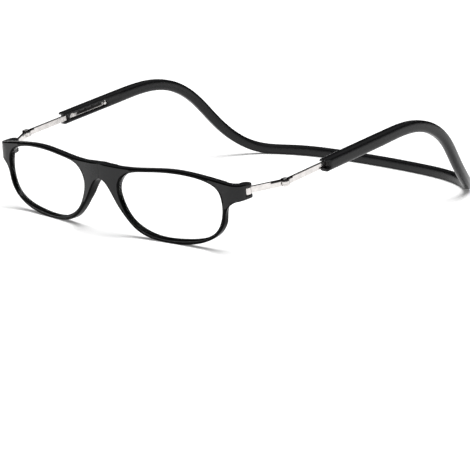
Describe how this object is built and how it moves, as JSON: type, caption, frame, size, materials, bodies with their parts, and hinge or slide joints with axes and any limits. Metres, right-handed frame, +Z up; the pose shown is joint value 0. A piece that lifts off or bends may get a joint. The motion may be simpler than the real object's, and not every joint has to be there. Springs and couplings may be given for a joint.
{
  "type": "magnetic bridge reading glasses",
  "caption": "Narrow reading glasses that part at a magnetic bridge, on hinged metal links and sliders that run into a one-piece band round the back of the neck.",
  "frame": {"origin": "on the surface that the glasses stand on, under the centre of their outline box", "axes": "+Z up, +Y from the lenses towards the back of the neckband, +X towards the wearer's left"},
  "size_m": [0.1508, 0.178, 0.0396],
  "materials": {
    "frame_plastic": "satin black",
    "band_plastic": "satin black",
    "lens": "clear",
    "bright_metal": "polished",
    "magnet": "plated"
  },
  "bodies": {
    "neckband": {"neckband": "band_plastic"},
    "left_slider": {"left_slider": "bright_metal", "left_slider_stud": "bright_metal", "left_elbow_pin": "bright_metal"},
    "left_link": {"left_hinge_link": "bright_metal"},
    "left_front": {"left_rim": "frame_plastic", "left_lens": "lens", "left_bridge_magnet": "magnet", "left_fork_screw": "bright_metal"},
    "right_slider": {"right_slider": "bright_metal", "right_slider_stud": "bright_metal", "right_elbow_pin": "bright_metal"},
    "right_link": {"right_hinge_link": "bright_metal"},
    "right_front": {"right_rim": "frame_plastic", "right_lens": "lens", "right_bridge_magnet": "magnet", "right_fork_screw": "bright_metal"}
  },
  "joints": [
    {"name": "left_arm_slide", "type": "slide", "parent": "neckband", "child": "left_slider", "axis": [0, -0.988, -0.1547], "range_m": [0, 0.02]},
    {"name": "left_elbow_hinge", "type": "hinge", "parent": "left_slider", "child": "left_link", "pos_m": [0.07232, -0.05999, 0.02631], "axis": [0, -0.1547, 0.988], "range_deg": [0, 60]},
    {"name": "left_fork_hinge", "type": "hinge", "parent": "left_link", "child": "left_front", "pos_m": [0.0649, -0.07377, 0.02415], "axis": [0, -0.1547, 0.988], "range_deg": [0, 75]},
    {"name": "right_arm_slide", "type": "slide", "parent": "neckband", "child": "right_slider", "axis": [0, -0.988, -0.1547], "range_m": [0, 0.02]},
    {"name": "right_elbow_hinge", "type": "hinge", "parent": "right_slider", "child": "right_link", "pos_m": [-0.07232, -0.05999, 0.02631], "axis": [0, 0.1547, -0.988], "range_deg": [0, 60]},
    {"name": "right_fork_hinge", "type": "hinge", "parent": "right_link", "child": "right_front", "pos_m": [-0.0649, -0.07377, 0.02415], "axis": [0, 0.1547, -0.988], "range_deg": [0, 75]}
  ]
}
